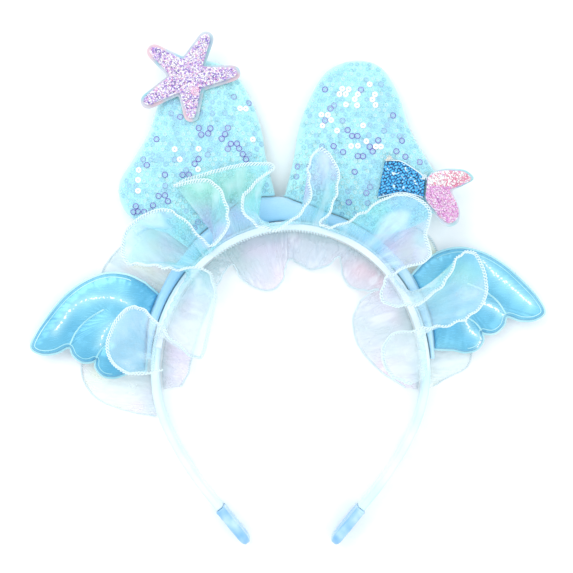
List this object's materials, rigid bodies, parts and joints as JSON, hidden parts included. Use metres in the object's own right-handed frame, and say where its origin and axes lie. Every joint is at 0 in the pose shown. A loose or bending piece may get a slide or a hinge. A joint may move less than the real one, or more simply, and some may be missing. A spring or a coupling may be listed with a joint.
{
  "type": "bear ears headband",
  "caption": "Thin alice band with padded sequin bear ears, satin wings, a starfish, a mermaid tail and gathered organza ruffles, lying on its back.",
  "frame": {"origin": "middle of the band's back edge at the crown, on the surface that the headband lies on", "axes": "+Z away from the surface, towards the viewer of the ears' fronts; +Y from the crown towards the ears' tops; +X to the viewer's right"},
  "size_m": [0.2552, 0.2544, 0.0418],
  "materials": {
    "pale_satin": "pale blue satin wound tightly over the strip",
    "blue_satin": "blue satin sleeve",
    "crest_satin": "sky blue satin over a soft filling",
    "sequin_cloth": "aqua cloth with clear iridescent ring sequins",
    "patch_backing": "pale teal iridescent film on felt",
    "lilac_glitter": "lilac, pink and white glitter",
    "blue_scales": "deep blue with a fine scale pattern",
    "pink_glitter": "pink and magenta glitter",
    "wing_satin": "shiny metallic sky blue satin, padded",
    "organza": "clear iridescent organza with a white hem"
  },
  "bodies": {
    "root": {"band": "pale_satin", "tip_left": "blue_satin", "tip_right": "blue_satin", "crest": "crest_satin", "ear_left": "sequin_cloth", "ear_right": "sequin_cloth", "star_backing": "patch_backing", "star_glitter": "lilac_glitter", "tail_backing": "patch_backing", "tail_body": "blue_scales", "tail_fin": "pink_glitter", "wing_left": "wing_satin", "wing_right": "wing_satin", "ruffle_front": "organza", "ruffle_inner": "organza", "ruffle_back": "organza"}
  },
  "joints": []
}
